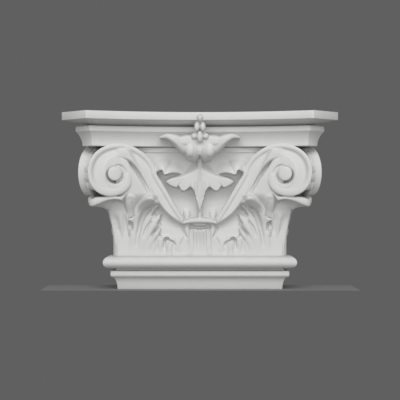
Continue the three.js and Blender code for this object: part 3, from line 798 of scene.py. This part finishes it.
# %% [markdown]
# Between the mid leaf and the corner leaf a shell-shaped lobe fills the gap, and a small bud sits
# under its own roof nearer the middle. They are low, so their edges are drawn with narrow cuts.

# %% Shell lobe, bud and shoulder
# shell lobe
lay(leafage, [
    (-86.8, 85.3, 3.5, 4), (-87.4, 96.6, 7, 4.4), (-87.4, 105.9, 7.5, 4.4), (-86.1, 113.4, 7, 2)
], 3)
cut(leafage, [(-94, 104.1, 0.8, 4), (-93.3, 99.1, 0.9, 7), (-92, 93.4, 0.8, 5)])
cut(leafage, [
    (-93.9, 92.8, 0.9, 4), (-92.6, 88.4, 1.1, 7), (-89.2, 84.9, 1.3, 8), (-85.9, 82.8, 1.3, 9),
    (-84.8, 79.1, 0.9, 6), (-84.2, 74.1, 0.8, 2)
])
cut(leafage, [(-90.3, 80.3, 0.8, 3), (-90.5, 74.1, 0.8, 1.5)])
lay(leafage, [(-87.8, 79.7, 1.2, 3.5), (-87.6, 75.3, 2.4, 4.5), (-87.6, 69.1, 2.4, 3)], 2)
cut(leafage, [(-84.9, 109.1, 1.2, 1), (-83.6, 100.3, 1.2, 1.8), (-83, 92.8, 1.2, 1.4)])
cut(leafage, [(-90.5, 89.1, 0.8, 1.2), (-84.2, 90.9, 0.8, 1.6), (-81.8, 94.1, 0.8, 1.2)])
# bud under its roof
lay(leafage, [
    (-53, 47.8, 4, 0.6), (-49.3, 59.1, 4.5, 1.8), (-41.8, 65.3, 4, 2.6), (-33, 61.6, 4, 2.4),
    (-26.8, 51.6, 4, 0.8)
], 3)
cut(leafage, [
    (-44.3, 51.6, 1.3, 1.2), (-44.5, 57.8, 1.3, 2.5), (-43.9, 62.2, 1.7, 6), (-41.1, 64.1, 1.6, 6),
    (-38.6, 62.4, 0.9, 4.5), (-33, 59.4, 0.9, 3.5), (-31.1, 55.3, 1.1, 1.5)
])
lay(leafage, [(-38.2, 59.1, 1.6, 1.6), (-38.2, 52.8, 4, 2.6), (-38.6, 41.6, 4.5, 1.4)], 2)
cut(leafage, [(-54.3, 62.8, 1.5, 1), (-54.3, 55.3, 1.8, 1.4), (-53, 46.6, 1.6, 0.5)])
# tab at the heart's shoulder, and the strokes beside the middle leaf
lay(leafage, [
    (-16.1, 81.6, 4.4, 3), (-16.1, 76.6, 4, 3), (-14.3, 67.8, 3, 2), (-13, 55.3, 2, 0.6)
], 3)
cut(leafage, [
    (-22.3, 80.3, 0.8, 1.4), (-21.8, 75.3, 0.9, 1.6), (-19.9, 70.3, 0.9, 1.6),
    (-16.1, 65.3, 0.9, 0.8)
])
lay(leafage, [(-28, 55.3, 3, 0.8), (-24.9, 62.8, 2.6, 1.6), (-21.8, 67.2, 1.5, 1.2)], 2.5)
print("deepest cut", round(float(leafage["h"].min()), 1), "mm")

# %% [markdown]
# Two leaves spring from the stem on each side. The upper one is a mass with a scalloped lower
# edge, so it is a cliff: full height at the edge and an even fall behind it. The lower one is a
# blade with an edge all round, which runs into the stem without a seam.

# %% Side leaves
cliff(leafage, [
    (-59.9, 145.1, 12, 6), (-55.5, 146.8, 15, 9), (-50.5, 149.2, 17, 13.5), (-47.6, 150.2, 18, 16),
    (-46.1, 148.6, 18, 17), (-45.4, 145.8, 18, 17), (-43.2, 144.2, 18, 17), (-38, 145.8, 18, 15.5),
    (-31.8, 146.8, 16, 10.5), (-25.5, 145.9, 13, 6), (-19.3, 144.3, 10, 2), (-14.3, 142.8, 8, 0)
])
LOWER_EDGE = [
    (-43.5, 135.8), (-41.8, 134.1), (-38, 130.9), (-33, 128.7), (-29.3, 127.8), (-27.3, 129.1),
    (-26.2, 128.8), (-25.3, 127.1), (-24, 125.1), (-22, 123.6), (-19.8, 123.3), (-16.8, 124.8),
    (-13.8, 127.2), (-11.8, 128.3), (-9.8, 126.8), (-7.4, 122.8), (-5.5, 116.6)
]
UPPER_EDGE = [
    (-43.5, 136.1, 2, 15), (-41.1, 138.7, 2.2, 15.5), (-36.8, 141.2, 2.6, 15.5),
    (-31.8, 142.8, 3.2, 15.5), (-25.5, 145.3, 5, 14.5), (-19.3, 150.9, 10, 13),
    (-11.8, 160.3, 17, 12), (-4.3, 175.3, 24, 11)
]
plate(leafage, LOWER_EDGE, UPPER_EDGE)
cut(leafage, [(-26.9, 128.4, 0.8, 3), (-26.1, 131.6, 0.8, 1), (-23, 134.7, 0.7, 0.2)])
cut(leafage, [(-11.8, 127.4, 0.8, 2), (-11.8, 130.3, 0.8, 0.8), (-10.5, 132.8, 0.7, 0.2)])
# groove between the strap and the web
cut(leafage, [
    (-62, 121, 1.6, 3), (-68, 132, 2, 6), (-75.2, 144, 2.3, 7.5), (-81.8, 153, 2.3, 7.5),
    (-89.5, 159.8, 2, 6), (-97, 163.5, 1.5, 2)
])
print("side leaves stand out", round(float(leafage["h"].max()), 1), "mm")

# %% [markdown]
# On the middle line a reeded stem carries the flower, a collar ties the two straps, and a ribbed
# heart-shaped leaf hangs below the collar. All of it is half a stroke, because the field stops at
# the middle line and is mirrored later.

# %% Stem, heart leaf and collar
# stem
lay(leafage, [
    (0, 164, 5, 12), (0, 152, 5.4, 12), (0, 140, 6.4, 12.6), (0, 131, 10, 13), (0, 122, 8.6, 13),
    (0, 112, 5.4, 12.4), (0, 104, 4.2, 12), (0, 88, 3.8, 11)
], 3)
cut(leafage, [
    (-1.5, 158, 0.6, 0.8), (-1.6, 140, 0.7, 1.4), (-2.2, 128, 0.8, 1.6), (-1.6, 114, 0.7, 1.4),
    (-1.2, 96, 0.6, 1)
])
cut(leafage, [
    (-5.4, 134, 0.7, 0.5), (-5.8, 127, 0.7, 1.8), (-4.4, 119, 0.7, 1.5), (-3, 108, 0.6, 0.8)
])
# heart leaf at the bottom middle
lay(leafage, [(0, 36, 13, 4.2), (0, 60, 12.5, 5), (0, 74, 12, 6.5), (0, 80, 11, 6.5)], 5)
for rib in (-9, -5.4, -1.8):
    cut(leafage, [(rib, 46, 0.8, 0.2), (rib, 60, 0.8, 1.2), (rib, 78, 0.9, 1.8)])
# berries over the collar and the collar
lay(leafage, [(-17, 90, 3, 2.4), (-16.5, 94, 4.8, 3.2), (-16.5, 97, 4.8, 3.2)], 4)
lay(leafage, [(-20.5, 84.5, 3, 9), (-12, 86.6, 4.2, 11.5), (0, 87.2, 4.8, 13)], 4)
cut(leafage, [(-12, 79.5, 1.2, 4), (-6, 78.5, 1.6, 6), (0, 77.6, 2, 7)])
print("collar stands out", round(float(leafage["h"][:, -1].max()), 1), "mm")

# %% [markdown]
# The field becomes a slab: its front is the bell's face plus the heights and its back is a flat
# sheet inside the bell. A slab has no thin edges, so the later fusing can't leave pinholes.

# %% Relief slab
def relief_slab():
    """The height grid as a closed slab, its back inside the bell."""
    depth = BELL_FRONT + ground + leafage["h"]
    rows, cols = U.shape
    front = np.stack([U, depth, Z], axis=-1)
    front[:, -1, 0] += 0.3
    back = np.stack([front[:, -1], front[:, 0]], axis=1)
    back[..., 1] = BELL_FRONT - 8
    return loft(np.concatenate([front, back], axis=1))


half.append(relief_slab())
print("slab:", len(half[-1][1]), "faces")

# %% [markdown]
# The flower sits on the abacus. Its petals are rounded fingers of carving that bend outwards, its
# cup is two swelling lobes with an oval boss on each, and berries climb a spike up to the fascia.
# A finger is a loft along a curved row of stations, and balls make the round forms.

# %% Flower
def ball(u, d, z, ru, rd, rz, around=32, up=18):
    rings = []
    for a in np.pi * (np.arange(1, up) / up - 0.5):
        b = 2 * np.pi * np.arange(around) / around
        c = math.cos(a)
        ring = [u + ru * c * np.cos(b), d + rd * c * np.sin(b), z + rz * math.sin(a) + 0 * b]
        rings.append(np.stack(ring, axis=1))
    return loft(rings)


def finger(stations, edge, back, steps=40):
    """A rounded finger of carving: stations [u, z, width, depth of its crest]."""
    s = along(stations, np.linspace(0, 1, steps))
    way = np.gradient(s[:, :2], axis=0)
    way /= np.linalg.norm(way, axis=1)[:, None]
    rings = []
    for (u, z, w, crest), (wu, wz) in zip(s, way):
        ring = []
        for f in np.linspace(-1, 1, 13):
            full = math.sqrt(max(0, 1 - f**4))
            ring.append((u + wz * f * w / 2, edge + (crest - edge) * full, z - wu * f * w / 2))
        for f in (0.9, -0.9):
            ring.append((u + wz * f * w / 2, back, z - wu * f * w / 2))
        rings.append(ring)
    return loft(rings)


PETAL = [[-8, 168, 12, 84], [-14, 174, 16, 90], [-20, 179.5, 17.5, 94.5], [-26, 184.5, 15.5, 97]]
PETAL += [[-33, 188.6, 12, 98], [-41, 191, 8, 96], [-49.5, 189.2, 3, 92]]
BERRIES = [[3.7, 202.8, 88, 3.5, 5.8], [7.6, 190.8, 92.5, 3.4, 4]]
BERRY_DEEP = 5
TOP_BERRY = [0, 89.5, 213.8, 3.4, 5, 4.4]
LONG_BERRY = [0, 93, 190, 3.9, 6, 7.4]
CUP_LOBE = [9, 74, 174, 11.2, 21, 14.5]
SHOULDER = [[-27, 184.5, 11, 96.5], [-19, 185.5, 15, 96], [-11, 185, 16, 94], [-3, 184, 15, 91]]
OVAL = [11.8, 90.4, 174.4, 6.8, 6.4, 9]
HEART = [[0, 168, 7, 87.5], [0, 173, 11, 90], [0, 180, 12, 90.5], [0, 188, 8, 89]]
SPIKE = [[0, 178, 24, 85], [0, 190, 20, 86], [0, 198, 14, 85], [0, 206, 12, 84.5]]
SPIKE += [[0, 213, 12, 86], [0, 219.5, 17, 86]]
u, d, z, *size = CUP_LOBE
flower = [finger(PETAL, 82, 72), finger(SHOULDER, 84, 72), ball(-u, d, z, *size)]
u, d, z, *size = OVAL
flower.append(ball(-u, d, z, *size))
for u, z, d, r, tall in BERRIES:
    flower.append(ball(-u, d, z, r, BERRY_DEEP, tall))
middle = [ball(*TOP_BERRY), ball(*LONG_BERRY), finger(HEART, 86, 66), finger(SPIKE, 80, 60)]
print("flower:", len(flower), "forms on each side and", len(middle), "in the middle")

# %% [markdown]
# In the real capital all of this is one casting with soft hollows where forms meet. So the left
# half is copied to the side face and to the right, and everything is fused on a fine even grid.
# One light smoothing rounds the arrises as paint does. Then the back is cut off flat at the wall
# and the faces are thinned to keep the file small.

# %% Cast
def gather(parts, name):
    points, faces, start = [], [], 0
    for p, f in parts:
        points.append(np.asarray(p, float))
        faces += [tuple(i + start for i in face) for face in f]
        start += len(p)
    return mesh_object(name, np.concatenate(points), faces)


def flipped(part):
    return mirrored(part[0]), [f[::-1] for f in part[1]]


def sided(part):
    return to_side(part[0]), [f[::-1] for f in part[1]]


left = half + [sided(p) for p in half] + corner + flower
carving = gather(left + [flipped(p) for p in left] + middle, "carving")
VOXEL_MM = 0.55
BACK_GAP = 0.3
remesh = carving.modifiers.new("fuse", "REMESH")
remesh.mode = "VOXEL"
remesh.voxel_size = VOXEL_MM / 1000
remesh.use_smooth_shade = True
smooth = carving.modifiers.new("soften", "SMOOTH")
smooth.factor, smooth.iterations = 0.5, 1


def bake(obj):
    graph = bpy.context.evaluated_depsgraph_get()
    mesh = bpy.data.meshes.new_from_object(obj.evaluated_get(graph), depsgraph=graph)
    obj.modifiers.clear()
    obj.data = mesh
    return obj


bake(carving)
trim = bmesh.new()
trim.from_mesh(carving.data)
whole = list(trim.verts) + list(trim.edges) + list(trim.faces)
wall = (0, (BASE_DEPTH / 2 - BACK_GAP) / 1000, 0)
bmesh.ops.bisect_plane(trim, geom=whole, plane_co=wall, plane_no=(0, 1, 0), clear_outer=True)
bmesh.ops.holes_fill(trim, edges=[e for e in trim.edges if e.is_boundary])
trim.to_mesh(carving.data)
trim.free()
print("fused:", len(carving.data.polygons), "faces")
MAX_TRIANGLES = 178000
thin = carving.modifiers.new("thin", "DECIMATE")
thin.ratio = min(1, MAX_TRIANGLES / (2 * len(carving.data.polygons)))
bake(carving)
carving.data.shade_smooth()
print("thinned:", sum(len(p.vertices) - 2 for p in carving.data.polygons), "triangles")

# %% [markdown]
# Base, abacus and carving are one casting. They stay three overlapping meshes in one primer,
# because that keeps the straight mouldings crisp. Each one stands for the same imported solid.

# %% One casting
for helper in list(plans.values()) + list(profiles.values()):
    bpy.data.objects.remove(helper)
cast = [base, abacus, carving]
for obj in cast:
    obj.data.materials.clear()
    obj.data.materials.append(PRIMER)
    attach(obj, "root")
    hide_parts("capital")
for obj in (base, abacus):
    obj.data.set_sharp_from_angle(angle=math.radians(35))
print("casting:", [obj.name for obj in cast], "in", PRIMER.name)

# %% [markdown]
# White relief is read by its shading alone. The photograph's light is soft and comes from the
# front and a little above: open faces are almost even, tops are brightest and hollows fall off
# quickly. A very wide, near panel gives that fall-off and a smaller one above adds the tops.

# %% Light
def area_light(name, place, target, size, watts):
    data = bpy.data.lights.new(name, "AREA")
    data.shape = "RECTANGLE"
    data.size, data.size_y = size
    data.energy = watts
    obj = bpy.data.objects.new(name, data)
    obj.location = place
    obj.rotation_euler = (Vector(target) - Vector(place)).to_track_quat("-Z", "Y").to_euler()
    bpy.context.scene.collection.objects.link(obj)
    return obj


AIM = (0, 0, 0.12)
KEY_WATTS, FILL_WATTS = 11, 51
area_light("key", (0, -1.2, 1.2), AIM, (1.4, 0.5), KEY_WATTS)
area_light("fill", (0, -1.6, 0.4), AIM, (5, 3), FILL_WATTS)

# %% [markdown]
# The room is an even mid grey, and the capital stands on a small strip of grey studio paper.

# %% Room and floor
ROOM_GREY, PAPER_GREY = "#606060", "#8c8c8c"
studio = bpy.data.worlds.new("studio")
bpy.context.scene.world = studio
studio.use_nodes = True
studio.node_tree.nodes["Background"].inputs["Color"].default_value = linear(ROOM_GREY)
studio.node_tree.nodes["Background"].inputs["Strength"].default_value = 1

FLOOR_HALF = 0.2
FLOOR_FRONT, FLOOR_BACK = -0.045, 0.045
floor_mesh = bpy.data.meshes.new("floor")
corners = [(-FLOOR_HALF, FLOOR_FRONT, 0), (FLOOR_HALF, FLOOR_FRONT, 0)]
corners += [(FLOOR_HALF, FLOOR_BACK, 0), (-FLOOR_HALF, FLOOR_BACK, 0)]
floor_mesh.from_pydata(corners, [], [(0, 1, 2, 3)])
paper = bpy.data.materials.new("grey_studio_paper")
paper.use_nodes = True
paper.node_tree.nodes["Principled BSDF"].inputs["Base Color"].default_value = linear(PAPER_GREY)
paper.node_tree.nodes["Principled BSDF"].inputs["Roughness"].default_value = 0.9
floor_mesh.materials.append(paper)
floor = bpy.data.objects.new("floor", floor_mesh)
bpy.context.scene.collection.objects.link(floor)
print("floor:", FLOOR_HALF * 2, "m wide")

# %% [markdown]
# The camera looks straight on from 1.4 m, at half the capital's height. That distance comes from how
# much the horns grow towards the viewer.

# %% Camera
CAMERA_PLACE = (0.0001, -1.4152, 0.1128)
LENS_MM = 99
SENSOR_MM = 36
camera = bpy.data.objects.new("camera", bpy.data.cameras.new("camera"))
bpy.context.scene.collection.objects.link(camera)
camera.data.lens = LENS_MM
camera.data.sensor_width = SENSOR_MM
camera.location = CAMERA_PLACE
camera.rotation_euler = (math.radians(90), 0, 0)
bpy.context.scene.camera = camera
bpy.context.scene.view_settings.view_transform = "Standard"
